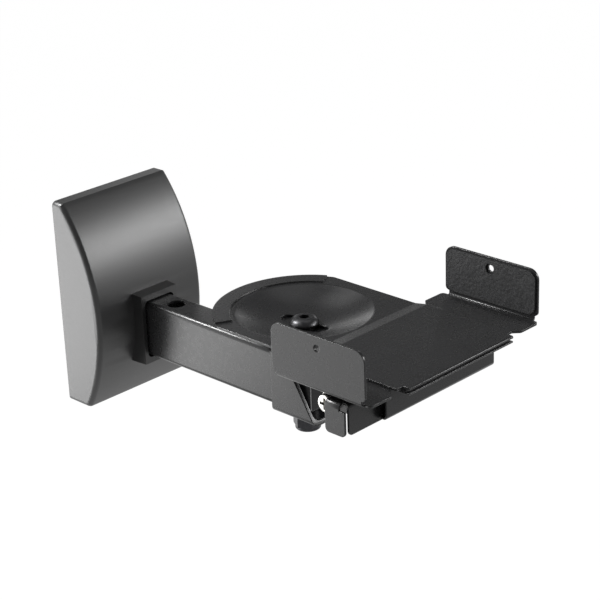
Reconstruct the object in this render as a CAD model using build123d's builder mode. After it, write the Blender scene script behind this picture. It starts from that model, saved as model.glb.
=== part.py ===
from build123d import *
import os
from math import asin, cos, degrees, radians, sin, sqrt

os.makedirs("parts", exist_ok=True)

# A side-clamping wall bracket for a bookshelf speaker.
# Millimetres. The wall is the plane Y = 0 and the arm reaches out along -Y, with +Z up.
# The origin is the middle of the wall screw pattern, on the wall.

# Wall plate
plate_width = 80.0
plate_height = 128.0
plate_thickness = 3.0
plate_lip_depth = 10.0
plate_bend_radius = 3.5
wall_hole_spacing_x = 52.0
wall_hole_spacing_z = 100.0
wall_hole_diameter = 6.5
wall_slot_width = 16.0
wall_slot_height = 30.0
wall_slot_corner_radius = 3.0

# Arm, a rectangular tube
arm_width = 24.0
arm_height = 40.0
arm_wall = 2.0
arm_corner_radius = 3.5
arm_centre_z = -18.6
pivot_reach = 188.0
cable_hole_diameter = 13.0
cable_hole_reach = 66.0

# Wall cover, a moulded shell
cover_width = 95.0
cover_height = 148.0
cover_depth = 39.5
cover_wall = 2.5
cover_top_depth = 8.8
cover_arc_centre_z = -8.5
cover_side_fillet = 3.5
cover_bottom_fillet = 5.0
collar_reach = 48.5
collar_side_wall = 3.4
collar_top_wall = 4.6
collar_taper = 2.0
collar_gap = 1.1
collar_root = 7.0
cover_rib_thickness = 2.5
cover_rib_depth = 13.0
cover_rib_spacing = 70.0
cover_rib_gap = 0.3

# Saddle welded round the end of the arm
saddle_thickness = 3.0
saddle_rear_reach = 17.6
saddle_front_bottom = 20.5
saddle_front_top = -6.3
saddle_bend_radius = 4.0

# Seat of the ball joint, welded on top of the arm
seat_base_thickness = 3.0
seat_base_width = 32.0
seat_base_front = 19.0
seat_ring_diameter = 36.0
seat_ring_wall = 4.0
seat_height = 15.75
seat_radius = 30.0
seat_thickness = 2.5
seat_gap = 0.3

# Pivot bolt and its hardware
bolt_diameter = 10.0
bolt_hole_gap = 0.25
head_diameter = 19.0
head_height = 4.3
head_socket = 6.0
head_socket_depth = 2.9
sleeve_wall = 3.0
washer_diameter = 20.0
washer_thickness = 1.5
key_washer_diameter = 18.0
key_washer_thickness = 1.4
bolt_running_gap = 0.04
key_washer_face_gap = 0.05
key_length = 12.0
key_side_gap = 0.2
key_end_gap = 0.45
key_depth = 1.1
nut_across_flats = 17.0
nut_hex_height = 7.0
nut_collar_height = 2.9
nut_collar_wall = 2.6
nut_insert_height = 2.4
bolt_end_beyond_nut = 1.2
bolt_end_chamfer = 1.0
tilt_angle = 7.0

# Tray, a pressed sheet with a ball dish
tray_sheet = 1.5
tray_width = 106.6
tray_rear_radius = 58.3
tray_front_reach = 129.0
tray_corner_radius = 6.0
tray_lip_width = 96.0
tray_notch_depth = 5.0
tray_front_round = 1.1
dish_radius = 100.0
dish_rim_radius = 44.5
dish_rim_fillet = 5.0
joggle_start = 47.0
joggle_length = 10.0
joggle_bend_radius = 12.0
dish_collar_radius = 46.6
rim_band_inner_radius = 47.2
rim_band_half_angle = 61.5
rim_band_rise = 0.9
slot_width = 11.0

# Guide plate and rail under the tray
guide_sheet = 1.2
guide_ear_reach = 22.0
guide_dish_gap = 3.0
slide_gap = 0.15
front_strip_width = 9.0
front_strip_setback = 2.2
rail_sheet = 1.5
rail_outer_width = 51.0
rail_length = 100.0
rail_drop = 20.5
sheet_bend_radius = 1.0
rail_lip_gap = 0.5

# Jaws
jaw_sheet = 1.5
jaw_outer_distance = 160.0
jaw_centre_reach = 87.5
jaw_flange_width = 73.0
jaw_flange_height = 33.1
jaw_top_corner_radius = 7.0
jaw_low_corner_radius = 2.6
jaw_foot_overhang = 1.75
jaw_foot_wide_length = 20.0
jaw_neck_width = 54.0
jaw_feet_gap = 5.0
jaw_relief_width = 4.6
jaw_relief_height = 2.6
jaw_hole_diameter = 4.5
jaw_hole_height = 25.7
pad_thickness = 1.2
pad_margin = 1.6
pad_foot_gap = 3.2
pad_hole_diameter = 7.0

# Sliders under the jaws, and the clamp screw
slider_sheet = 1.5
slider_corner_radius = 3.0
near_slider_width = 40.0
near_slider_gap = 0.4
near_slider_drop = 20.2
near_slider_setback = 0.4
near_slider_inner_end = 8.0
far_slider_width = 28.0
far_slider_gap = 0.3
far_slider_drop = 12.5
far_slider_outer_end = 60.0
tab_corner_gap = 0.9
tab_rear_offset = 4.4
tab_bend_radius = 2.0
spacer_length = 7.0
spacer_width = 26.0
spacer_position = 56.5
screw_side_offset = 2.9
screw_ear_setback = 14.0
nut_ear_offset = 38.0
ear_width = 19.0
ear_drop = 13.0
screw_diameter = 6.0
screw_hole_gap = 0.2
screw_running_gap = 0.06
screw_head_diameter = 12.0
screw_head_height = 4.4
screw_head_round = 1.6
screw_recess_width = 1.9
screw_recess_length = 7.4
screw_recess_depth = 2.4
screw_recess_taper = 8.0
screw_end_chamfer = 0.8
screw_length = 115.0
screw_washer_diameter = 13.0
screw_washer_thickness = 1.6
clamp_nut_across_flats = 10.0
clamp_nut_height = 5.0
ring_diameter = 10.0
ring_thickness = 1.5
ring_gap = 0.15

# Sizes worked out from the sizes above
cover_arc_rise = cover_height / 2 - cover_arc_centre_z
cover_arc_drop = cover_depth - cover_top_depth
cover_arc_radius = (cover_arc_rise ** 2 + cover_arc_drop ** 2) / (2 * cover_arc_drop)
jaw_foot_width = jaw_flange_width + 2 * jaw_foot_overhang
rail_lip_height = rail_sheet + sheet_bend_radius

# Heights worked out from the sizes above
arm_top_z = arm_centre_z + arm_height / 2
arm_bottom_z = arm_centre_z - arm_height / 2
pivot_y = -pivot_reach
seat_top_z = arm_top_z + seat_height
ball_z = seat_top_z + dish_radius + tray_sheet + seat_gap
tray_low_top_z = ball_z - sqrt(dish_radius ** 2 - dish_rim_radius ** 2)
guide_top_z = tray_low_top_z - tray_sheet
guide_bottom_z = guide_top_z - guide_sheet
foot_bottom_z = guide_top_z + slide_gap
foot_top_z = foot_bottom_z + jaw_sheet
tray_rise = jaw_sheet + 2 * slide_gap
near_slider_top_z = guide_bottom_z - rail_sheet - near_slider_gap
near_slider_bottom_z = near_slider_top_z - near_slider_drop
far_slider_top_z = near_slider_top_z - slider_sheet - far_slider_gap
screw_z = far_slider_top_z - slider_sheet - clamp_nut_across_flats / 2

# Places worked out from the sizes above
jaw_y = pivot_y - jaw_centre_reach
screw_y = jaw_y + screw_side_offset
jaw_outer_x = jaw_outer_distance / 2
jaw_inner_x = jaw_outer_x - jaw_sheet
tray_front_y = pivot_y - tray_front_reach
screw_ear_x = -(jaw_outer_x - screw_ear_setback)
screw_seat_x = screw_ear_x - screw_washer_thickness
nut_ear_x = -nut_ear_offset
sleeve_diameter = bolt_diameter + 2 * bolt_hole_gap + 2 * sleeve_wall
bolt_hole_diameter = bolt_diameter + 2 * bolt_hole_gap
screw_hole_diameter = screw_diameter + 2 * screw_hole_gap
arm_end_y = pivot_y + sleeve_diameter / 2 + sleeve_wall
key_washer_bottom_z = seat_top_z + seat_gap + tray_sheet + seat_gap
key_washer_top_z = key_washer_bottom_z + key_washer_thickness
head_bottom_z = key_washer_top_z + key_washer_face_gap
saddle_bottom_z = arm_bottom_z - saddle_thickness
nut_washer_bottom_z = saddle_bottom_z - washer_thickness
nut_hex_bottom_z = nut_washer_bottom_z - nut_hex_height
nut_bottom_z = nut_hex_bottom_z - nut_collar_height
bolt_end_z = nut_bottom_z - bolt_end_beyond_nut
dish_low_z = ball_z - dish_radius
tilt_travel = (dish_radius + tray_sheet) * sin(radians(tilt_angle))
slot_length = key_length + 2 * tilt_travel + 2 * key_end_gap

# A large length for cuts that pass right through a piece
through = 400.0


def cover_depth_at(height):
    """How far the cover's curved front stands off the wall at a height."""
    rise = height - cover_arc_centre_z
    return cover_depth - cover_arc_radius + sqrt(cover_arc_radius ** 2 - rise ** 2)


def save(piece, name):
    """Label a finished piece and write it to its own file."""
    piece.label = name
    export_step(piece, "parts/" + name + ".step")
    print(name, round(piece.volume / 1000, 2), "cm3")


# Wall plate: a folded steel plate with a lip down each side
with BuildPart() as wall_plate:
    with BuildSketch(Plane.XY.offset(-plate_height / 2)):
        with Locations((0, -plate_lip_depth / 2)):
            Rectangle(plate_width, plate_lip_depth)
    extrude(amount=plate_height)
    wall_edges = wall_plate.edges().filter_by(Axis.Z).group_by(Axis.Y)[-1]
    fillet(wall_edges, radius=plate_bend_radius)
    with BuildSketch(Plane.XZ.offset(plate_thickness)):
        Rectangle(plate_width - 2 * plate_thickness, through)
    extrude(amount=plate_lip_depth, mode=Mode.SUBTRACT)
    lip_ends = wall_plate.edges().filter_by(Axis.X).group_by(Axis.Y)[0]
    fillet(lip_ends, radius=plate_bend_radius)
    with BuildSketch(Plane.XZ):
        with GridLocations(wall_hole_spacing_x, wall_hole_spacing_z, 2, 2):
            Circle(wall_hole_diameter / 2)
        with Locations((0, arm_centre_z)):
            RectangleRounded(wall_slot_width, wall_slot_height, wall_slot_corner_radius)
    extrude(amount=plate_thickness, mode=Mode.SUBTRACT)
save(wall_plate.part, "wall_plate")

# Arm tube, butted on the plate, with the cable hole in its top wall
with BuildPart() as arm_tube:
    with BuildSketch(Plane.XZ.offset(plate_thickness)):
        with Locations((0, arm_centre_z)):
            RectangleRounded(arm_width, arm_height, arm_corner_radius)
            RectangleRounded(
                arm_width - 2 * arm_wall,
                arm_height - 2 * arm_wall,
                arm_corner_radius - arm_wall,
                mode=Mode.SUBTRACT,
            )
    extrude(amount=-arm_end_y - plate_thickness)
    with BuildSketch(Plane.XY.offset(arm_top_z)):
        with Locations((0, -cable_hole_reach)):
            Circle(cable_hole_diameter / 2)
    extrude(amount=-arm_height / 2, mode=Mode.SUBTRACT)
save(arm_tube.part, "arm_tube")


def cover_block(inset):
    """The cover's outer form, or its hollow when it is inset by the wall."""
    half_height = cover_height / 2 - inset
    front_bottom = (inset - cover_depth_at(-half_height), -half_height)
    front_middle = (inset - cover_depth, cover_arc_centre_z)
    front_top = (inset - cover_depth_at(half_height), half_height)
    with BuildPart() as block:
        with BuildSketch(Plane.YZ):
            with BuildLine():
                Line((0, -half_height), front_bottom)
                ThreePointArc(front_bottom, front_middle, front_top)
                Line(front_top, (0, half_height))
                Line((0, half_height), (0, -half_height))
            make_face()
        extrude(amount=cover_width / 2 - inset, both=True)
        low_front = block.edges().filter_by(Axis.X).group_by(Axis.Z)[0].sort_by(Axis.Y)[0]
        fillet(low_front, radius=cover_bottom_fillet - inset)
        side_edges = block.faces().filter_by(Axis.X).edges()
        round_edges = side_edges.filter_by(lambda edge: edge.center().Y < -1)
        fillet(round_edges, radius=cover_side_fillet - inset)
    return block.part


# Cover: a curved shell, open at the wall, with a square collar round the arm
with BuildPart() as cover:
    add(cover_block(0))
    add(cover_block(cover_wall), mode=Mode.SUBTRACT)
    with BuildSketch(Plane.XZ.offset(cover_depth - collar_root)):
        with Locations((0, arm_centre_z)):
            Rectangle(
                arm_width + 2 * (collar_gap + collar_side_wall),
                arm_height + 2 * (collar_gap + collar_top_wall),
            )
    extrude(amount=collar_reach - cover_depth + collar_root, taper=collar_taper)
    with BuildSketch(Plane.XZ.offset(plate_lip_depth)):
        with Locations((0, arm_centre_z)):
            RectangleRounded(
                arm_width + 2 * collar_gap,
                arm_height + 2 * collar_gap,
                arm_corner_radius,
            )
    extrude(amount=collar_reach, mode=Mode.SUBTRACT)
    rib_inner_x = plate_width / 2 + cover_rib_gap
    rib_outer_x = cover_width / 2 - cover_wall / 2
    with BuildSketch(Plane.XZ.offset(cover_wall)):
        with GridLocations(rib_inner_x + rib_outer_x, cover_rib_spacing, 2, 2):
            Rectangle(rib_outer_x - rib_inner_x, cover_rib_thickness)
    extrude(amount=cover_rib_depth)
save(cover.part, "cover")

# Saddle: a U of sheet welded round the end of the arm, its front cut on a slant
saddle_height = arm_height + saddle_thickness
saddle_width = arm_width + 2 * saddle_thickness
with BuildPart() as saddle:
    with BuildSketch(Plane.XZ.offset(pivot_reach - saddle_rear_reach)):
        with Locations((0, saddle_bottom_z + saddle_height / 2)):
            Rectangle(saddle_width, saddle_height)
    extrude(amount=saddle_rear_reach + saddle_front_bottom)
    low_corners = saddle.edges().filter_by(Axis.Y).group_by(Axis.Z)[0]
    fillet(low_corners, radius=saddle_bend_radius)
    with BuildSketch(Plane.XZ.offset(pivot_reach - saddle_rear_reach)):
        with Locations((0, arm_centre_z)):
            RectangleRounded(arm_width, arm_height, arm_corner_radius)
        with Locations((0, arm_top_z - arm_corner_radius)):
            Rectangle(arm_width, 2 * arm_corner_radius)
    extrude(amount=saddle_rear_reach + saddle_front_bottom, mode=Mode.SUBTRACT)
    with BuildSketch(Plane.YZ):
        with BuildLine():
            Polyline(
                (pivot_y - saddle_front_top, arm_top_z),
                (pivot_y - saddle_front_bottom, arm_top_z),
                (pivot_y - saddle_front_bottom, saddle_bottom_z),
                close=True,
            )
        make_face()
    extrude(amount=saddle_width / 2, both=True, mode=Mode.SUBTRACT)
    with BuildSketch(Plane.XY.offset(saddle_bottom_z)):
        with Locations((0, pivot_y)):
            Circle(bolt_hole_diameter / 2)
    extrude(amount=saddle_thickness, mode=Mode.SUBTRACT)
save(saddle.part, "saddle")

# Seat base: a small plate across the tops of the arm and the saddle
with BuildPart() as seat_base:
    base_length = saddle_rear_reach + seat_base_front
    with BuildSketch(Plane.XY.offset(arm_top_z)):
        with Locations((0, pivot_y + (saddle_rear_reach - seat_base_front) / 2)):
            RectangleRounded(seat_base_width, base_length, saddle_bend_radius)
        with Locations((0, pivot_y)):
            Circle(bolt_hole_diameter / 2, mode=Mode.SUBTRACT)
    extrude(amount=seat_base_thickness)
save(seat_base.part, "seat_base")


def ball_shell(outer_radius, thickness, plan_radius):
    """A round cap cut from a ball shell about the tilt centre."""
    with BuildPart() as shell:
        with Locations((0, pivot_y, ball_z)):
            Sphere(outer_radius)
            Sphere(outer_radius - thickness, mode=Mode.SUBTRACT)
        with BuildSketch(Plane.XY.offset(ball_z - outer_radius)):
            with Locations((0, pivot_y)):
                Circle(plan_radius)
        extrude(amount=outer_radius, mode=Mode.INTERSECT)
    return shell.part


# Seat dish: a pressed cap under the tray's dish, about the same ball centre
seat_top_radius = ball_z - seat_top_z
seat_under_radius = seat_top_radius + seat_thickness
with BuildPart() as seat_dish:
    add(ball_shell(seat_under_radius, seat_thickness, seat_radius))
    with BuildSketch(Plane.XY.offset(seat_top_z - 2 * seat_thickness)):
        with Locations((0, pivot_y)):
            Circle(bolt_hole_diameter / 2)
    extrude(amount=4 * seat_thickness, mode=Mode.SUBTRACT)
save(seat_dish.part, "seat_dish")

# Seat ring: a short tube that carries the seat dish, its top turned to the ball
with BuildPart() as seat_ring:
    with BuildSketch(Plane.XY.offset(arm_top_z + seat_base_thickness)):
        with Locations((0, pivot_y)):
            Circle(seat_ring_diameter / 2)
            Circle(seat_ring_diameter / 2 - seat_ring_wall, mode=Mode.SUBTRACT)
    extrude(amount=seat_height)
    with Locations((0, pivot_y, ball_z)):
        Sphere(seat_under_radius, mode=Mode.SUBTRACT)
save(seat_ring.part, "seat_ring")


def ring_piece(bottom_z, height, outer_diameter, bore_diameter):
    """A plain ring about the pivot, such as a washer or a sleeve."""
    with BuildPart() as ring:
        with BuildSketch(Plane.XY.offset(bottom_z)):
            with Locations((0, pivot_y)):
                Circle(outer_diameter / 2)
                Circle(bore_diameter / 2, mode=Mode.SUBTRACT)
        extrude(amount=height)
    return ring.part


# Sleeve between the seat base and the saddle, and the washer under the saddle
sleeve_length = arm_top_z - arm_bottom_z
save(ring_piece(arm_bottom_z, sleeve_length, sleeve_diameter, bolt_hole_diameter), "pivot_sleeve")
save(ring_piece(nut_washer_bottom_z, washer_thickness, washer_diameter, bolt_hole_diameter), "nut_washer")

# Pivot bolt: a button head with a hex socket, and a plain shank
with BuildPart() as pivot_bolt:
    head_top_radius = head_diameter / 4
    head_side_height = head_height / 5
    with BuildSketch(Plane.XZ.offset(pivot_reach)):
        with BuildLine():
            shoulder = (head_diameter / 2, head_bottom_z + head_side_height)
            crown = (head_top_radius, head_bottom_z + head_height)
            Line((0, bolt_end_z), (0, head_bottom_z + head_height))
            Line((0, head_bottom_z + head_height), crown)
            TangentArc(crown, shoulder, tangent=(1, 0))
            Line(shoulder, (head_diameter / 2, head_bottom_z))
            Line((head_diameter / 2, head_bottom_z), (bolt_diameter / 2, head_bottom_z))
            Line((bolt_diameter / 2, head_bottom_z), (bolt_diameter / 2, bolt_end_z))
            Line((bolt_diameter / 2, bolt_end_z), (0, bolt_end_z))
        make_face()
    revolve(axis=Axis((0, pivot_y, 0), (0, 0, 1)))
    with BuildSketch(Plane.XY.offset(head_bottom_z + head_height)):
        with Locations((0, pivot_y)):
            RegularPolygon(head_socket / 2, 6, major_radius=False)
    extrude(amount=-head_socket_depth, mode=Mode.SUBTRACT)
    chamfer(pivot_bolt.edges().group_by(Axis.Z)[0], length=bolt_end_chamfer)
save(pivot_bolt.part, "pivot_bolt")

# Lock nut: a hex with a round collar below it that holds a nylon ring
insert_diameter = nut_across_flats - 2 * nut_collar_wall
with BuildPart() as lock_nut:
    with BuildSketch(Plane.XY.offset(nut_hex_bottom_z)):
        with Locations((0, pivot_y)):
            RegularPolygon(nut_across_flats / 2, 6, major_radius=False)
    extrude(amount=nut_hex_height)
    with BuildSketch(Plane.XY.offset(nut_bottom_z)):
        with Locations((0, pivot_y)):
            Circle(nut_across_flats / 2)
    extrude(amount=nut_collar_height)
    fillet(lock_nut.edges().group_by(Axis.Z)[0], radius=nut_collar_wall / 2)
    with BuildSketch(Plane.XY.offset(nut_bottom_z)):
        with Locations((0, pivot_y)):
            Circle(insert_diameter / 2)
    extrude(amount=nut_insert_height, mode=Mode.SUBTRACT)
    with BuildSketch(Plane.XY.offset(nut_bottom_z)):
        with Locations((0, pivot_y)):
            Circle(bolt_diameter / 2 + bolt_running_gap)
    extrude(amount=nut_hex_height + nut_collar_height, mode=Mode.SUBTRACT)
save(lock_nut.part, "lock_nut")
insert_bore = bolt_diameter + 2 * bolt_running_gap
save(ring_piece(nut_bottom_z, nut_insert_height, insert_diameter, insert_bore), "lock_nut_insert")

# Key washer: its round underside rides in the dish and its key slides in the slot
with BuildPart() as key_washer:
    with BuildSketch(Plane.XY.offset(key_washer_bottom_z)):
        with Locations((0, pivot_y)):
            Circle(key_washer_diameter / 2)
    extrude(amount=key_washer_thickness)
    with Locations((0, pivot_y, ball_z)):
        Sphere(dish_radius - seat_gap, mode=Mode.INTERSECT)
    key_bottom_z = key_washer_bottom_z - seat_gap - key_depth
    with BuildSketch(Plane.XY.offset(key_bottom_z)):
        with Locations((0, pivot_y)):
            SlotOverall(key_length, slot_width - 2 * key_side_gap, rotation=90)
    extrude(amount=key_washer_top_z - key_bottom_z)
    with BuildSketch(Plane.XY.offset(key_bottom_z)):
        with Locations((0, pivot_y)):
            Circle(bolt_diameter / 2 + bolt_running_gap)
    extrude(amount=key_washer_top_z - key_bottom_z, mode=Mode.SUBTRACT)
save(key_washer.part, "key_washer")


def rim_band(inner_radius, half_angle, bottom_z, height):
    """A curved block round the back of the tray, outside a radius and within an angle."""
    reach = 2 * tray_rear_radius
    side = reach * sin(radians(half_angle))
    back = reach * cos(radians(half_angle))
    with BuildPart() as band:
        with BuildSketch(Plane.XY.offset(bottom_z)):
            with Locations((0, pivot_y)):
                Circle(tray_rear_radius)
                Circle(inner_radius, mode=Mode.SUBTRACT)
            with BuildLine():
                Polyline(
                    (0, pivot_y),
                    (side, pivot_y + back),
                    (0, pivot_y + reach),
                    (-side, pivot_y + back),
                    close=True,
                )
            make_face(mode=Mode.INTERSECT)
        extrude(amount=height)
    return band.part


def tray_blank(width, bottom_z, height):
    """The tray's outline seen from above, as a block."""
    with BuildPart() as blank:
        with BuildSketch(Plane.XY.offset(bottom_z)) as plan:
            with Locations((0, pivot_y)):
                Circle(tray_rear_radius)
            with Locations((0, pivot_y - tray_front_reach / 2)):
                Rectangle(2 * tray_rear_radius, tray_front_reach)
            with Locations((0, pivot_y)):
                Rectangle(width, 2 * tray_front_reach, mode=Mode.INTERSECT)
            side_corners = plan.vertices().filter_by(lambda v: v.Y > pivot_y)
            fillet(side_corners, radius=tray_corner_radius)
            with Locations((0, tray_front_y)):
                with GridLocations(tray_lip_width + width, 1, 2, 1):
                    Rectangle(width, 2 * tray_notch_depth, mode=Mode.SUBTRACT)
        extrude(amount=height)
    return blank.part


# Tray: one pressed sheet with a ball dish, a raised front and a raised rim at the back
tray_high_top_z = tray_low_top_z + tray_rise
joggle_low_y = pivot_y - joggle_start
joggle_high_y = joggle_low_y - joggle_length
tray_rear_y = pivot_y + tray_rear_radius
rim_angle = degrees(asin(dish_rim_radius / dish_radius))
under_rim_radius = sqrt((dish_radius + tray_sheet) ** 2 - (ball_z - guide_top_z) ** 2)
under_rim_angle = degrees(asin(under_rim_radius / (dish_radius + tray_sheet)))
with BuildPart() as tray:
    with BuildSketch(Plane.YZ) as tray_section:
        with BuildLine():
            Polyline(
                (tray_rear_y, tray_low_top_z),
                (joggle_low_y, tray_low_top_z),
                (joggle_high_y, tray_high_top_z),
                (tray_front_y, tray_high_top_z),
                (tray_front_y, tray_high_top_z - tray_sheet),
                (joggle_high_y, tray_high_top_z - tray_sheet),
                (joggle_low_y, tray_low_top_z - tray_sheet),
                (tray_rear_y, tray_low_top_z - tray_sheet),
                close=True,
            )
        make_face()
        bends = tray_section.vertices().filter_by(
            lambda v: joggle_high_y - tray_sheet < v.Y < joggle_low_y + tray_sheet
        )
        fillet(bends, radius=joggle_bend_radius)
    extrude(amount=tray_width / 2, both=True)
    add(tray_blank(tray_width, guide_top_z, tray_sheet + tray_rise), mode=Mode.INTERSECT)
    with BuildSketch(Plane.XY.offset(guide_top_z)):
        with Locations((0, pivot_y)):
            Circle(dish_collar_radius)
    extrude(amount=tray_sheet, mode=Mode.SUBTRACT)
    with BuildSketch(Plane.XZ.offset(pivot_reach)) as dish_section:
        with BuildLine():
            dish_top = CenterArc((0, ball_z), dish_radius, -90, rim_angle)
            dish_under = CenterArc((0, ball_z), dish_radius + tray_sheet, -90, under_rim_angle)
            Polyline(
                dish_top @ 1,
                (dish_collar_radius, tray_low_top_z),
                (dish_collar_radius, guide_top_z),
                dish_under @ 1,
            )
            Line(dish_top @ 0, dish_under @ 0)
        make_face()
        rim_limit = (under_rim_radius + dish_collar_radius) / 2
        rims = dish_section.vertices().filter_by(
            lambda v: dish_rim_radius - tray_sheet < v.X < rim_limit
        )
        fillet(rims, radius=dish_rim_fillet)
    revolve(axis=Axis((0, pivot_y, 0), (0, 0, 1)))
    raised_height = tray_sheet + rim_band_rise
    add(rim_band(rim_band_inner_radius, rim_band_half_angle, guide_top_z, raised_height))
    hollow_angle = rim_band_half_angle - degrees(tray_sheet / tray_rear_radius)
    hollow_radius = rim_band_inner_radius + tray_sheet
    add(rim_band(hollow_radius, hollow_angle, guide_top_z, rim_band_rise), mode=Mode.SUBTRACT)
    dish_under_z = dish_low_z - tray_sheet
    add(tray_blank(tray_width, dish_under_z, tray_high_top_z - dish_under_z), mode=Mode.INTERSECT)
    with BuildSketch(Plane.XY.offset(dish_under_z)):
        with Locations((0, pivot_y)):
            SlotOverall(slot_length, slot_width, rotation=90)
    extrude(amount=2 * (tray_low_top_z - dish_low_z), mode=Mode.SUBTRACT)
    front_edges = tray.edges().filter_by(Axis.X).group_by(Axis.Y)[0].sort_by(Axis.Z)
    fillet(front_edges[-1], radius=tray_front_round)
save(tray.part, "tray")

# Guide plate: a flat sheet under the tray that closes the slide for the jaw feet
with BuildPart() as guide_plate:
    guide_length = tray_front_reach - guide_ear_reach
    with BuildSketch(Plane.XY.offset(guide_bottom_z)):
        with Locations((0, tray_front_y + guide_length / 2)):
            Rectangle(tray_lip_width, guide_length)
        with Locations((0, pivot_y)):
            Circle(dish_rim_radius + guide_dish_gap, mode=Mode.SUBTRACT)
    extrude(amount=guide_sheet)
save(guide_plate.part, "guide_plate")

# Front strip: a spacer between the tray and the guide plate, ahead of the feet
with BuildPart() as front_strip:
    strip_y = tray_front_y + front_strip_setback + front_strip_width / 2
    with BuildSketch(Plane.XY.offset(guide_top_z)):
        with Locations((0, strip_y)):
            Rectangle(tray_lip_width, front_strip_width)
    extrude(amount=tray_rise)
save(front_strip.part, "front_strip")


# Rail: a channel under the guide plate, with a lip turned in along each lower edge
rail_half = rail_length / 2
with BuildPart() as rail:
    with BuildSketch(Plane.YZ.offset(-rail_half)):
        with Locations((jaw_y, guide_bottom_z - rail_drop / 2)):
            RectangleRounded(rail_outer_width, rail_drop, sheet_bend_radius + rail_sheet)
            RectangleRounded(
                rail_outer_width - 2 * rail_sheet,
                rail_drop - 2 * rail_sheet,
                sheet_bend_radius,
                mode=Mode.SUBTRACT,
            )
        with Locations((jaw_y, guide_bottom_z - rail_drop)):
            Rectangle(near_slider_width + 2 * rail_lip_gap, 2 * rail_lip_height, mode=Mode.SUBTRACT)
    extrude(amount=rail_length)
save(rail.part, "rail")


def jaw(side):
    """An L of sheet: an upright flange and a foot that slides under the tray."""
    with BuildPart() as piece:
        half_foot = jaw_foot_width / 2
        half_neck = jaw_neck_width / 2
        shoulder_x = jaw_outer_x - jaw_foot_wide_length
        neck_x = shoulder_x - (half_foot - half_neck)
        with BuildSketch(Plane.XY.offset(foot_bottom_z)):
            with BuildLine():
                Polyline(
                    (side * jaw_outer_x, jaw_y + half_foot),
                    (side * shoulder_x, jaw_y + half_foot),
                    (side * neck_x, jaw_y + half_neck),
                    (side * jaw_feet_gap / 2, jaw_y + half_neck),
                    (side * jaw_feet_gap / 2, jaw_y - half_neck),
                    (side * neck_x, jaw_y - half_neck),
                    (side * shoulder_x, jaw_y - half_foot),
                    (side * jaw_outer_x, jaw_y - half_foot),
                    close=True,
                )
            make_face()
        extrude(amount=jaw_sheet)
        flange_top_z = foot_top_z + jaw_flange_height
        flange_height = flange_top_z - foot_bottom_z
        with BuildSketch(Plane.YZ.offset(side * jaw_inner_x)):
            with Locations((jaw_y, foot_bottom_z + flange_height / 2)):
                Rectangle(jaw_flange_width, flange_height)
        extrude(amount=side * jaw_sheet)
        lengthwise = piece.edges().filter_by(Axis.Y)
        bend_edges = lengthwise.filter_by(lambda edge: edge.length > jaw_neck_width)
        outer_bend = bend_edges.group_by(Axis.Z)[0].sort_by(lambda edge: abs(edge.center().X))[-1]
        inner_bend = bend_edges.filter_by(
            lambda edge: abs(abs(edge.center().X) - jaw_inner_x) < 0.01
            and abs(edge.center().Z - foot_top_z) < 0.01
        )
        fillet(inner_bend, radius=sheet_bend_radius)
        fillet(outer_bend, radius=sheet_bend_radius + jaw_sheet)
        relief_depth = jaw_sheet + sheet_bend_radius
        relief_height = jaw_sheet + jaw_relief_height
        relief_spacing = jaw_foot_width - jaw_relief_width
        with BuildSketch(Plane.YZ.offset(side * (jaw_outer_x - relief_depth))):
            with Locations((jaw_y, foot_bottom_z + relief_height / 2)):
                with GridLocations(relief_spacing, 1, 2, 1):
                    Rectangle(jaw_relief_width, relief_height)
        extrude(amount=side * relief_depth, mode=Mode.SUBTRACT)
        flange_ends = piece.edges().filter_by(Axis.X).filter_by(
            lambda edge: abs(abs(edge.center().X) - (jaw_outer_x + jaw_inner_x) / 2) < 0.01
            and abs(abs(edge.center().Y - jaw_y) - jaw_flange_width / 2) < 0.01
        )
        fillet(flange_ends.group_by(Axis.Z)[-1], radius=jaw_top_corner_radius)
        flange_ends = piece.edges().filter_by(Axis.X).filter_by(
            lambda edge: abs(abs(edge.center().X) - (jaw_outer_x + jaw_inner_x) / 2) < 0.01
            and abs(abs(edge.center().Y - jaw_y) - jaw_flange_width / 2) < 0.01
        )
        fillet(flange_ends, radius=jaw_low_corner_radius)
        foot_corners = piece.edges().filter_by(Axis.Z).filter_by(
            lambda edge: abs(abs(edge.center().Y - jaw_y) - half_foot) < 0.01
        )
        fillet(foot_corners, radius=jaw_low_corner_radius)
        with BuildSketch(Plane.YZ.offset(side * jaw_inner_x)):
            with Locations((jaw_y, foot_top_z + jaw_hole_height)):
                Circle(jaw_hole_diameter / 2)
        extrude(amount=side * jaw_sheet, mode=Mode.SUBTRACT)
    return piece.part


def pad(side):
    """A thin grip pad glued to the inner face of a jaw."""
    with BuildPart() as piece:
        pad_bottom_z = foot_top_z + pad_foot_gap
        pad_height = jaw_flange_height - pad_foot_gap - pad_margin
        with BuildSketch(Plane.YZ.offset(side * jaw_inner_x)):
            with Locations((jaw_y, pad_bottom_z + pad_height / 2)):
                RectangleRounded(
                    jaw_flange_width - 2 * pad_margin,
                    pad_height,
                    jaw_top_corner_radius - pad_margin,
                )
            with Locations((jaw_y, foot_top_z + jaw_hole_height)):
                Circle(pad_hole_diameter / 2, mode=Mode.SUBTRACT)
        extrude(amount=-side * pad_thickness)
    return piece.part


def spacer(side, bottom_z):
    """A block welded between a jaw's foot and the slider below it."""
    with BuildPart() as piece:
        with BuildSketch(Plane.XY.offset(bottom_z)):
            with Locations((side * spacer_position, jaw_y)):
                Rectangle(spacer_length, spacer_width)
        extrude(amount=foot_bottom_z - bottom_z)
    return piece.part


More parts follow.
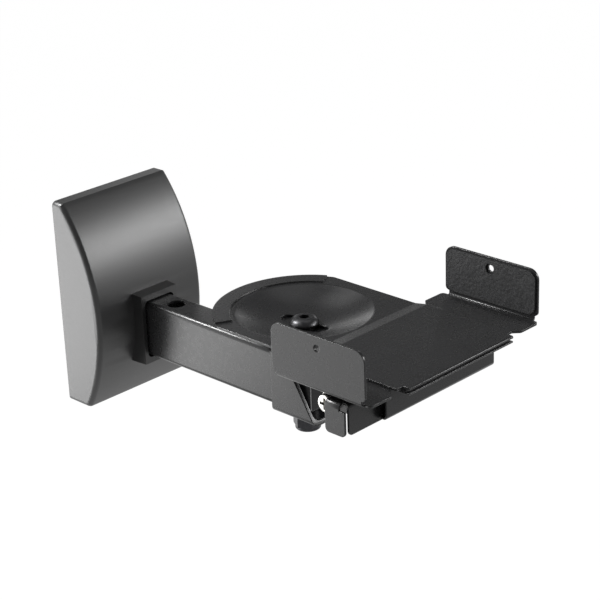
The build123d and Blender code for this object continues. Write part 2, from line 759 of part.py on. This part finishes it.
def channel(start_x, end_x, outer_width, top_z, drop):
    """A folded channel, open below, that runs along X inside the rail."""
    with BuildPart() as piece:
        with BuildSketch(Plane.YZ.offset(start_x)):
            with Locations((jaw_y, top_z - drop / 2)):
                Rectangle(outer_width, drop)
            with Locations((jaw_y, top_z - drop / 2 - slider_sheet)):
                Rectangle(outer_width - 2 * slider_sheet, drop, mode=Mode.SUBTRACT)
        extrude(amount=end_x - start_x)
        lengthwise = piece.edges().filter_by(Axis.X).group_by(Axis.Z)
        fillet(lengthwise[-2], radius=sheet_bend_radius)
        lengthwise = piece.edges().filter_by(Axis.X).group_by(Axis.Z)
        fillet(lengthwise[-1], radius=sheet_bend_radius + slider_sheet)
        low_corners = piece.edges().filter_by(Axis.Y).group_by(Axis.Z)[0]
        fillet(low_corners, radius=slider_corner_radius)
    return piece.part


# The near jaw is on the side of the clamp screw's head, the far jaw opposite
for side, jaw_name, slider_top_z in ((-1, "near", near_slider_top_z), (1, "far", far_slider_top_z)):
    save(jaw(side), jaw_name + "_jaw")
    save(pad(side), jaw_name + "_pad")
    save(spacer(side, slider_top_z), jaw_name + "_spacer")

# Near slider: a channel in the rail, with a tab at its end and an ear for the clamp screw
with BuildPart() as near_slider:
    tab_x = near_slider_setback - jaw_outer_x
    bend_size = slider_sheet + tab_bend_radius
    web_x = tab_x + bend_size
    bend_centre = (web_x, near_slider_top_z - bend_size)
    front_y = jaw_y - near_slider_width / 2
    tab_rear_y = jaw_y - tab_rear_offset
    add(
        channel(
            web_x,
            -near_slider_inner_end,
            near_slider_width,
            near_slider_top_z,
            near_slider_drop,
        )
    )
    with BuildSketch(Plane.XZ.offset(-tab_rear_y)):
        with BuildLine():
            outer_bend = CenterArc(bend_centre, bend_size, 90, 90)
            inner_bend = CenterArc(bend_centre, tab_bend_radius, 90, 90)
            Line(outer_bend @ 0, inner_bend @ 0)
            Polyline(
                outer_bend @ 1,
                (tab_x, near_slider_bottom_z),
                (tab_x + slider_sheet, near_slider_bottom_z),
                inner_bend @ 1,
            )
        make_face()
    extrude(amount=tab_rear_y - front_y)
    relief_size = bend_size + tab_corner_gap
    with BuildSketch(Plane.XY.offset(near_slider_top_z - relief_size)):
        with Locations(((tab_x + web_x) / 2, front_y + relief_size / 2)):
            Rectangle(web_x - tab_x, relief_size)
    extrude(amount=relief_size, mode=Mode.SUBTRACT)
    tab_low = near_slider.edges().filter_by(Axis.X).filter_by(
        lambda edge: edge.center().X < tab_x + slider_sheet
    )
    fillet(tab_low.group_by(Axis.Z)[0], radius=slider_corner_radius)
    with BuildSketch(Plane.XY.offset(near_slider_bottom_z)):
        with Locations(((tab_x + screw_ear_x) / 2, tab_rear_y + near_slider_width / 2)):
            Rectangle(screw_ear_x - tab_x, near_slider_width)
    extrude(amount=near_slider_drop, mode=Mode.SUBTRACT)
    with BuildSketch(Plane.YZ.offset(screw_ear_x)):
        with Locations((jaw_y, near_slider_top_z - ear_drop / 2)):
            Rectangle(ear_width, ear_drop)
    extrude(amount=slider_sheet)
    with BuildSketch(Plane.YZ.offset(screw_ear_x)):
        with Locations((screw_y, screw_z)):
            Circle(screw_hole_diameter / 2)
    extrude(amount=slider_sheet, mode=Mode.SUBTRACT)
save(near_slider.part, "near_slider")

# Far slider: a smaller channel inside the near one, with an ear for the nut
with BuildPart() as far_slider:
    add(
        channel(
            nut_ear_x,
            far_slider_outer_end,
            far_slider_width,
            far_slider_top_z,
            far_slider_drop,
        )
    )
    with BuildSketch(Plane.YZ.offset(nut_ear_x)):
        with Locations((jaw_y, far_slider_top_z - far_slider_drop / 2)):
            Rectangle(ear_width, far_slider_drop)
        with Locations((screw_y, screw_z)):
            Circle(screw_hole_diameter / 2, mode=Mode.SUBTRACT)
    extrude(amount=slider_sheet)
save(far_slider.part, "far_slider")

# Clamp screw: a pan head with a cross recess, pulling the two sliders together
with BuildPart() as clamp_screw:
    with BuildSketch(Plane.YZ.offset(screw_seat_x)):
        with Locations((screw_y, screw_z)):
            Circle(screw_head_diameter / 2)
    extrude(amount=-screw_head_height)
    fillet(clamp_screw.edges().group_by(Axis.X)[0], radius=screw_head_round)
    with BuildSketch(Plane.YZ.offset(screw_seat_x)):
        with Locations((screw_y, screw_z)):
            Circle(screw_diameter / 2)
    extrude(amount=screw_length)
    chamfer(clamp_screw.edges().group_by(Axis.X)[-1], length=screw_end_chamfer)
    with BuildSketch(Plane.YZ.offset(screw_seat_x - screw_head_height)):
        with Locations((screw_y, screw_z)):
            Rectangle(screw_recess_length, screw_recess_width)
            Rectangle(screw_recess_width, screw_recess_length)
    extrude(amount=screw_recess_depth, taper=screw_recess_taper, mode=Mode.SUBTRACT)
save(clamp_screw.part, "clamp_screw")


def screw_ring(start_x, length, outer_diameter, bore_diameter):
    """A plain ring about the clamp screw."""
    with BuildPart() as ring:
        with BuildSketch(Plane.YZ.offset(start_x)):
            with Locations((screw_y, screw_z)):
                Circle(outer_diameter / 2)
                Circle(bore_diameter / 2, mode=Mode.SUBTRACT)
        extrude(amount=length)
    return ring.part


# Washer under the screw's head, and the ring behind the ear that makes it push as well as pull
ring_x = screw_ear_x + slider_sheet + ring_gap
ring_bore = screw_diameter + 2 * screw_running_gap
save(
    screw_ring(screw_seat_x, screw_washer_thickness, screw_washer_diameter, screw_hole_diameter),
    "screw_washer",
)
save(screw_ring(ring_x, ring_thickness, ring_diameter, ring_bore), "screw_ring")

# Clamp nut, held from turning by the top of the far slider
with BuildPart() as clamp_nut:
    with BuildSketch(Plane.YZ.offset(nut_ear_x + slider_sheet)):
        with Locations((screw_y, screw_z)):
            RegularPolygon(clamp_nut_across_flats / 2, 6, major_radius=False)
            Circle(screw_diameter / 2 + screw_running_gap, mode=Mode.SUBTRACT)
    extrude(amount=clamp_nut_height)
save(clamp_nut.part, "clamp_nut")
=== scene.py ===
import bpy
import math
from mathutils import Matrix, Vector


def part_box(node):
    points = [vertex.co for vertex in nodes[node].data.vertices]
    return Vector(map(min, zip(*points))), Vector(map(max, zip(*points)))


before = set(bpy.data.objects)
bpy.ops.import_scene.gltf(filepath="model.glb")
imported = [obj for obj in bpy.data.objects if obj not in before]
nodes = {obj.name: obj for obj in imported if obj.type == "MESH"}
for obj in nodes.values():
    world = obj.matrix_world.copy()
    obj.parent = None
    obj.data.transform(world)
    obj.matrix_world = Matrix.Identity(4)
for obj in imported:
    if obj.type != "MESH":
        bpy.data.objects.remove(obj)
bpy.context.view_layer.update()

# Everything is in metres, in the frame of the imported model: the wall is Y = 0, +Z is up.

# Camera, fitted to points measured in the photograph
camera_azimuth = math.radians(-45.3)
camera_elevation = math.radians(22.5)
camera_roll = math.radians(-2.16)
camera_distance = 1.1809
camera_target = Vector((0.0, -0.1308, 0.0132))
camera_offset_right = 0.0381
camera_offset_up = 0.0075
sensor_width = 36.0
focal_pixels = 1798.5
frame_pixels = 600.0
camera_clip_end = 50.0

# Floor: its white shade, and how much of it glows for rays that show it
floor_z = -1.1
floor_size = 16.0
floor_white = 0.86
floor_roughness = 0.9
floor_glow = 0.9
glow_strength = 1.08

# In mirrors the glow falls off round a centre on the floor, from the near to the far distance
table_centre = (1.4, 1.2, 0.0)
table_near = 2.2
table_far = 3.2
table_edge_glow = 0.25

# Backdrop: its fill, and its fall from white to the ceiling's level between two slopes
world_fill = 0.3
ceiling_level = 0.18
horizon_sine = -0.02
ceiling_sine = 0.1

# The point that every softbox faces
light_aim = Vector((0.0, -0.15, 0.0))

# Broken edges: of plain steel, of the pressed sheets and of the cover
edge_round = 0.0004
sheet_edge_round = 0.00065
cover_edge_round = 0.0008
edge_segments = 3
edge_samples = 8
weld_distance = 1e-6
flat_angle = math.radians(0.6)
sharp_angle = math.radians(35)

# The two threads: pitch and length along the shank from its end
bolt_pitch = 0.0015
bolt_thread_length = 0.032
screw_pitch = 0.001
screw_thread_length = 0.108
axis_x = 0
axis_z = 2

# Black finishes: how light they are, how rough, and how much they mirror
powder_level = 0.014
powder_roughness = 0.28
powder_specular = 0.35
plastic_level = 0.008
plastic_roughness = 0.4
plastic_specular = 0.8
rubber_level = 0.02
rubber_roughness = 0.55

# Plated metals and nylon; the nut and its washers wear a darker copy of the bolt's black zinc,
# which is painted shade
shaded_nut_zinc = (0.07, 0.07, 0.075)
shaded_nut_zinc_roughness = 0.3
bolt_zinc = (0.09, 0.09, 0.094)
bolt_zinc_roughness = 0.36
nickel = (0.78, 0.77, 0.74)
nickel_roughness = 0.2
nylon_dark = (0.62, 0.64, 0.66, 1.0)
nylon_light = (0.78, 0.79, 0.8, 1.0)
nylon_roughness = 0.45
nylon_subsurface = 0.1

# Places of the values in a Mix node, which has one set for numbers and one for colours
mix_number_a = 2
mix_number_b = 3
mix_colour_a = 6
mix_colour_b = 7
mix_colour_result = 2


def new_material(name):
    """A node material, with its tree and its shader."""
    material = bpy.data.materials.new(name)
    material.use_nodes = True
    tree = material.node_tree
    shader = tree.nodes["Principled BSDF"]
    return material, tree, shader


def add_node(tree, kind, **settings):
    """A node of one kind, with its settings and the values of its inputs."""
    node = tree.nodes.new(kind)
    for key, value in settings.items():
        if key in node.inputs:
            node.inputs[key].default_value = value
        else:
            setattr(node, key, value)
    return node


def noise(tree, coordinates, scale, detail=2.0):
    """A noise texture in the object's own coordinates."""
    texture = add_node(tree, "ShaderNodeTexNoise")
    texture.inputs["Scale"].default_value = scale
    texture.inputs["Detail"].default_value = detail
    tree.links.new(coordinates, texture.inputs["Vector"])
    return texture.outputs["Fac"]


def spread(tree, value, low, high, source_low=0.3, source_high=0.7):
    """A value mapped to a range from its own, which is the middle of a noise if not given."""
    mapped = add_node(tree, "ShaderNodeMapRange")
    mapped.inputs["From Min"].default_value = source_low
    mapped.inputs["From Max"].default_value = source_high
    mapped.inputs["To Min"].default_value = low
    mapped.inputs["To Max"].default_value = high
    tree.links.new(value, mapped.inputs["Value"])
    return mapped.outputs["Result"]


def mix_colours(tree, factor, first, second):
    """A colour between two, chosen by a factor."""
    mixed = add_node(tree, "ShaderNodeMix", data_type="RGBA")
    mixed.inputs[mix_colour_a].default_value = first
    mixed.inputs[mix_colour_b].default_value = second
    tree.links.new(factor, mixed.inputs[0])
    return mixed.outputs[mix_colour_result]


def add_bump(tree, shader, height, strength, distance):
    """A bump from a height, on top of any bump that the shader already has."""
    bump = add_node(tree, "ShaderNodeBump")
    bump.inputs["Strength"].default_value = strength
    bump.inputs["Distance"].default_value = distance
    tree.links.new(height, bump.inputs["Height"])
    if shader.inputs["Normal"].links:
        tree.links.new(shader.inputs["Normal"].links[0].from_socket, bump.inputs["Normal"])
    tree.links.new(bump.outputs["Normal"], shader.inputs["Normal"])


def grey(level):
    """A neutral colour with a trace of blue, as black paint has under white light."""
    return (level, level, level * 1.04, 1.0)


def paint_grey(tree, shader, cloud, level, darkest, lightest):
    """A grey base colour that drifts with a noise between two shares of its level."""
    colour = mix_colours(tree, cloud, grey(level * darkest), grey(level * lightest))
    tree.links.new(colour, shader.inputs["Base Color"])


def vary_gloss(tree, shader, cloud, roughness, smoother, rougher):
    """A roughness that drifts with a noise, a little to each side."""
    gloss = spread(tree, cloud, roughness - smoother, roughness + rougher)
    tree.links.new(gloss, shader.inputs["Roughness"])


def round_edges(tree, radius):
    """Round the shading at sharp edges, under the bumps, so that an edge catches the light."""
    edge = add_node(tree, "ShaderNodeBevel", samples=edge_samples)
    edge.inputs["Radius"].default_value = radius
    for node in tree.nodes:
        if node.type == "BUMP" and not node.inputs["Normal"].is_linked:
            tree.links.new(edge.outputs["Normal"], node.inputs["Normal"])


def powder_coat(name, level, roughness):
    """Black powder coat on steel: a soft orange peel with a fine grain in its gloss."""
    material, tree, shader = new_material(name)
    place = add_node(tree, "ShaderNodeTexCoord").outputs["Object"]
    cloud = noise(tree, place, scale=45.0, detail=3.0)
    paint_grey(tree, shader, cloud, level, darkest=0.85, lightest=1.18)
    haze = noise(tree, place, scale=260.0, detail=4.0)
    vary_gloss(tree, shader, haze, roughness, smoother=0.02, rougher=0.02)
    peel = noise(tree, place, scale=700.0)
    add_bump(tree, shader, peel, strength=0.008, distance=0.0003)
    grain = noise(tree, place, scale=3600.0, detail=1.0)
    add_bump(tree, shader, grain, strength=0.008, distance=0.0002)
    round_edges(tree, sheet_edge_round)
    shader.inputs["Specular IOR Level"].default_value = powder_specular
    return material


def moulded_plastic(name, level, roughness):
    """Moulded black plastic with a fine spark-eroded grain."""
    material, tree, shader = new_material(name)
    place = add_node(tree, "ShaderNodeTexCoord").outputs["Object"]
    cloud = noise(tree, place, scale=18.0)
    paint_grey(tree, shader, cloud, level, darkest=0.92, lightest=1.1)
    haze = noise(tree, place, scale=420.0, detail=3.0)
    vary_gloss(tree, shader, haze, roughness, smoother=0.015, rougher=0.015)
    grain = noise(tree, place, scale=2600.0)
    add_bump(tree, shader, grain, strength=0.03, distance=0.0002)
    shader.inputs["Specular IOR Level"].default_value = plastic_specular
    return material


def grip_rubber(name, level):
    """A black grip pad with a pebbled grain."""
    material, tree, shader = new_material(name)
    place = add_node(tree, "ShaderNodeTexCoord").outputs["Object"]
    pebbles = add_node(tree, "ShaderNodeTexVoronoi", feature="SMOOTH_F1")
    pebbles.inputs["Scale"].default_value = 520.0
    tree.links.new(place, pebbles.inputs["Vector"])
    cloud = noise(tree, place, scale=160.0, detail=4.0)
    paint_grey(tree, shader, cloud, level, darkest=0.6, lightest=1.7)
    add_bump(tree, shader, pebbles.outputs["Distance"], strength=0.5, distance=0.0004)
    add_bump(tree, shader, cloud, strength=0.5, distance=0.0006)
    shader.inputs["Roughness"].default_value = rubber_roughness
    return material


def plated_metal(name, colour, roughness):
    """Plated steel with faint stains and small changes in its gloss."""
    material, tree, shader = new_material(name)
    place = add_node(tree, "ShaderNodeTexCoord").outputs["Object"]
    stains = noise(tree, place, scale=500.0, detail=4.0)
    darker = tuple(part * 0.6 for part in colour) + (1.0,)
    shade = mix_colours(tree, stains, darker, colour + (1.0,))
    tree.links.new(shade, shader.inputs["Base Color"])
    haze = noise(tree, place, scale=900.0, detail=3.0)
    vary_gloss(tree, shader, haze, roughness, smoother=0.05, rougher=0.08)
    grain = noise(tree, place, scale=1500.0, detail=3.0)
    add_bump(tree, shader, grain, strength=0.12, distance=0.0002)
    shader.inputs["Metallic"].default_value = 1.0
    return material


def add_thread(material, axis, centre, low, high, pitch):
    """A screw thread as a bump along one axis, between two places on the shank."""
    tree = material.node_tree
    shader = tree.nodes["Principled BSDF"]
    place = add_node(tree, "ShaderNodeTexCoord").outputs["Object"]
    moved = add_node(tree, "ShaderNodeVectorMath", operation="SUBTRACT")
    moved.inputs[1].default_value = centre
    tree.links.new(place, moved.inputs[0])
    parts = add_node(tree, "ShaderNodeSeparateXYZ")
    tree.links.new(moved.outputs[0], parts.inputs[0])
    along = parts.outputs[axis]
    across = [parts.outputs[other] for other in range(3) if other != axis]
    angle = add_node(tree, "ShaderNodeMath", operation="ARCTAN2")
    tree.links.new(across[0], angle.inputs[0])
    tree.links.new(across[1], angle.inputs[1])
    lead = add_node(tree, "ShaderNodeMath", operation="MULTIPLY_ADD")
    lead.inputs[1].default_value = pitch / (2 * math.pi)
    tree.links.new(angle.outputs[0], lead.inputs[0])
    tree.links.new(along, lead.inputs[2])
    wave = add_node(tree, "ShaderNodeMath", operation="PINGPONG")
    wave.inputs[1].default_value = pitch / 2
    tree.links.new(lead.outputs[0], wave.inputs[0])
    threaded = add_node(tree, "ShaderNodeMath", operation="COMPARE")
    threaded.inputs[1].default_value = (low + high) / 2 - centre[axis]
    threaded.inputs[2].default_value = (high - low) / 2
    tree.links.new(along, threaded.inputs[0])
    height = add_node(tree, "ShaderNodeMath", operation="MULTIPLY")
    tree.links.new(wave.outputs[0], height.inputs[0])
    tree.links.new(threaded.outputs[0], height.inputs[1])
    add_bump(tree, shader, height.outputs[0], strength=1.0, distance=1.0)
    return material


def nylon_plastic(name):
    """The pale nylon ring of the lock nut."""
    material, tree, shader = new_material(name)
    place = add_node(tree, "ShaderNodeTexCoord").outputs["Object"]
    cloud = noise(tree, place, scale=500.0)
    colour = mix_colours(tree, cloud, nylon_dark, nylon_light)
    tree.links.new(colour, shader.inputs["Base Color"])
    shader.inputs["Roughness"].default_value = nylon_roughness
    shader.inputs["Subsurface Weight"].default_value = nylon_subsurface
    return material


def dress(names, material):
    """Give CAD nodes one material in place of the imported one."""
    for name in names:
        for slot in nodes[name].material_slots:
            slot.material = material


def soften_edges(names, width):
    """Break the sharp edges of CAD nodes, with modifiers only."""
    for name in names:
        node = nodes[name]
        weld = node.modifiers.new("weld", "WELD")
        weld.merge_threshold = weld_distance
        flat = node.modifiers.new("flat", "DECIMATE")
        flat.decimate_type = "DISSOLVE"
        flat.angle_limit = flat_angle
        bevel = node.modifiers.new("bevel", "BEVEL")
        bevel.width = width
        bevel.segments = edge_segments
        bevel.limit_method = "ANGLE"
        bevel.angle_limit = sharp_angle
        bevel.harden_normals = True


def seen_rays(tree):
    """One for rays from the camera, a mirror or glass, and zero for light that fills."""
    path = add_node(tree, "ShaderNodeLightPath")
    both = add_node(tree, "ShaderNodeMath", operation="MAXIMUM")
    tree.links.new(path.outputs["Is Camera Ray"], both.inputs[0])
    tree.links.new(path.outputs["Is Glossy Ray"], both.inputs[1])
    seen = add_node(tree, "ShaderNodeMath", operation="MAXIMUM")
    tree.links.new(both.outputs[0], seen.inputs[0])
    tree.links.new(path.outputs["Is Transmission Ray"], seen.inputs[1])
    return seen.outputs[0]


def build_floor():
    """A pale floor well below the bracket, which keeps a faint shadow."""
    bpy.ops.mesh.primitive_plane_add(size=floor_size, location=(0, 0, floor_z))
    floor = bpy.context.active_object
    floor.name = "floor"
    material, tree, shader = new_material("floor_white")
    shader.inputs["Base Color"].default_value = (floor_white, floor_white, floor_white, 1.0)
    shader.inputs["Roughness"].default_value = floor_roughness
    glow = add_node(tree, "ShaderNodeEmission", Strength=glow_strength)
    place = add_node(tree, "ShaderNodeTexCoord").outputs["Object"]
    reach = add_node(tree, "ShaderNodeVectorMath", operation="DISTANCE")
    reach.inputs[1].default_value = table_centre
    tree.links.new(place, reach.inputs[0])
    table = spread(tree, reach.outputs["Value"], floor_glow, table_edge_glow, table_near, table_far)
    path = add_node(tree, "ShaderNodeLightPath")
    lit = add_node(tree, "ShaderNodeMix", data_type="FLOAT")
    lit.inputs[mix_number_b].default_value = floor_glow
    tree.links.new(path.outputs["Is Camera Ray"], lit.inputs[0])
    tree.links.new(table, lit.inputs[mix_number_a])
    share = add_node(tree, "ShaderNodeMath", operation="MULTIPLY")
    tree.links.new(seen_rays(tree), share.inputs[0])
    tree.links.new(lit.outputs[0], share.inputs[1])
    mixed = add_node(tree, "ShaderNodeMixShader")
    tree.links.new(share.outputs[0], mixed.inputs[0])
    tree.links.new(shader.outputs[0], mixed.inputs[1])
    tree.links.new(glow.outputs[0], mixed.inputs[2])
    tree.links.new(mixed.outputs[0], tree.nodes["Material Output"].inputs["Surface"])
    floor.data.materials.append(material)


def build_world():
    """A white backdrop round the horizon under a dimmer ceiling, and a soft fill."""
    world = bpy.data.worlds.new("studio")
    bpy.context.scene.world = world
    world.use_nodes = True
    tree = world.node_tree
    sky = tree.nodes["Background"]
    sky.inputs["Color"].default_value = (1.0, 1.0, 1.0, 1.0)
    direction = add_node(tree, "ShaderNodeSeparateXYZ")
    tree.links.new(add_node(tree, "ShaderNodeTexCoord").outputs["Generated"], direction.inputs[0])
    backdrop = spread(tree, direction.outputs["Z"], 1.0, ceiling_level, horizon_sine, ceiling_sine)
    path = add_node(tree, "ShaderNodeLightPath")
    plain = add_node(tree, "ShaderNodeMath", operation="MAXIMUM")
    tree.links.new(path.outputs["Is Camera Ray"], plain.inputs[0])
    tree.links.new(backdrop, plain.inputs[1])
    strength = add_node(tree, "ShaderNodeMix", data_type="FLOAT")
    strength.inputs[mix_number_a].default_value = world_fill
    tree.links.new(seen_rays(tree), strength.inputs[0])
    tree.links.new(plain.outputs[0], strength.inputs[mix_number_b])
    tree.links.new(strength.outputs[0], sky.inputs["Strength"])


def softbox(name, place, width, height, power):
    """An area light that faces the bracket and isn't seen itself."""
    data = bpy.data.lights.new(name, "AREA")
    data.shape = "RECTANGLE"
    data.size = width
    data.size_y = height
    data.energy = power
    light = bpy.data.objects.new(name, data)
    light.visible_camera = False
    light.location = place
    light.rotation_euler = (light_aim - Vector(place)).to_track_quat("-Z", "Y").to_euler()
    bpy.context.scene.collection.objects.link(light)


def build_lights():
    """Softboxes behind the left side, at the front right and above, as in the photograph."""
    softbox("left_box", (-1.05, 0.85, 0.05), 1.0, 2.0, 13.0)
    softbox("left_core", (-0.33, 0.4, -0.1), 0.3, 0.45, 1.6)
    softbox("right_box", (1.0, -1.24, 0.57), 1.0, 0.4, 18.0)
    softbox("back_box", (0.27, 0.62, 1.0), 0.4, 0.4, 0.8)
    softbox("back_strip", (0.73, 0.79, 0.25), 0.2, 0.3, 0.24)
    softbox("side_box", (1.17, 0.33, 0.28), 0.35, 0.35, 0.75)
    softbox("edge_box", (-0.45, 0.6, 0.85), 0.3, 0.25, 18.0)
    softbox("top_box", (0.45, -0.05, 1.45), 0.8, 0.8, 1.6)


def build_camera():
    """The camera at the photograph's viewing angle, with its small roll."""
    cos_a, sin_a = math.cos(camera_azimuth), math.sin(camera_azimuth)
    cos_e, sin_e = math.cos(camera_elevation), math.sin(camera_elevation)
    back = Vector((sin_a * cos_e, -cos_a * cos_e, sin_e))
    right = Vector((cos_a, sin_a, 0.0))
    up = back.cross(right)
    rolled_right = right * math.cos(camera_roll) + up * math.sin(camera_roll)
    rolled_up = up * math.cos(camera_roll) - right * math.sin(camera_roll)
    place = camera_target + back * camera_distance
    place += rolled_right * camera_offset_right + rolled_up * camera_offset_up
    data = bpy.data.cameras.new("camera")
    data.sensor_width = sensor_width
    data.lens = focal_pixels * sensor_width / frame_pixels
    data.clip_end = camera_clip_end
    camera = bpy.data.objects.new("camera", data)
    turn = Matrix((rolled_right, rolled_up, back)).transposed()
    camera.matrix_world = Matrix.Translation(place) @ turn.to_4x4()
    bpy.context.scene.collection.objects.link(camera)
    bpy.context.scene.camera = camera


# Which nodes share a material
plain_steel = [
    "wall_plate", "arm_tube", "saddle", "seat_base", "guide_plate", "front_strip", "rail",
    "far_slider", "near_spacer", "far_spacer",
]
pressed_sheets = ["tray", "near_jaw", "far_jaw", "near_slider"]
hidden_steel = ["seat_ring", "seat_dish", "pivot_sleeve"]
dark_hardware = ["nut_washer", "lock_nut", "key_washer"]
bright_hardware = ["screw_washer", "screw_ring", "clamp_nut"]

# The bolt's thread starts at its foot, and the screw's at its far end
bolt_low, bolt_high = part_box("pivot_bolt")
bolt_centre = [(low + high) / 2 for low, high in zip(bolt_low, bolt_high)]
bolt_thread = (bolt_low[axis_z], bolt_low[axis_z] + bolt_thread_length, bolt_pitch)
bolt_metal = plated_metal("black_zinc_threaded", bolt_zinc, bolt_zinc_roughness)
screw_low, screw_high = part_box("clamp_screw")
screw_centre = [(low + high) / 2 for low, high in zip(screw_low, screw_high)]
screw_thread = (screw_high[axis_x] - screw_thread_length, screw_high[axis_x], screw_pitch)
screw_metal = plated_metal("bright_nickel_threaded", nickel, nickel_roughness)

powder = powder_coat("black_powder_coat", powder_level, powder_roughness)
dress(plain_steel + pressed_sheets + hidden_steel, powder)
dress(["cover"], moulded_plastic("black_moulded_plastic", plastic_level, plastic_roughness))
dress(["near_pad", "far_pad"], grip_rubber("grip_pad_rubber", rubber_level))
# The nut and its washers: the bolt's black zinc made darker, as painted shade
dress(dark_hardware, plated_metal("black_zinc", shaded_nut_zinc, shaded_nut_zinc_roughness))
dress(bright_hardware, plated_metal("bright_nickel", nickel, nickel_roughness))
dress(["pivot_bolt"], add_thread(bolt_metal, axis_z, bolt_centre, *bolt_thread))
dress(["clamp_screw"], add_thread(screw_metal, axis_x, screw_centre, *screw_thread))
dress(["lock_nut_insert"], nylon_plastic("nylon"))
soften_edges(plain_steel, edge_round)
soften_edges(pressed_sheets, sheet_edge_round)
soften_edges(["cover"], cover_edge_round)

build_floor()
build_world()
build_lights()
build_camera()
bpy.context.scene.view_settings.view_transform = "Standard"
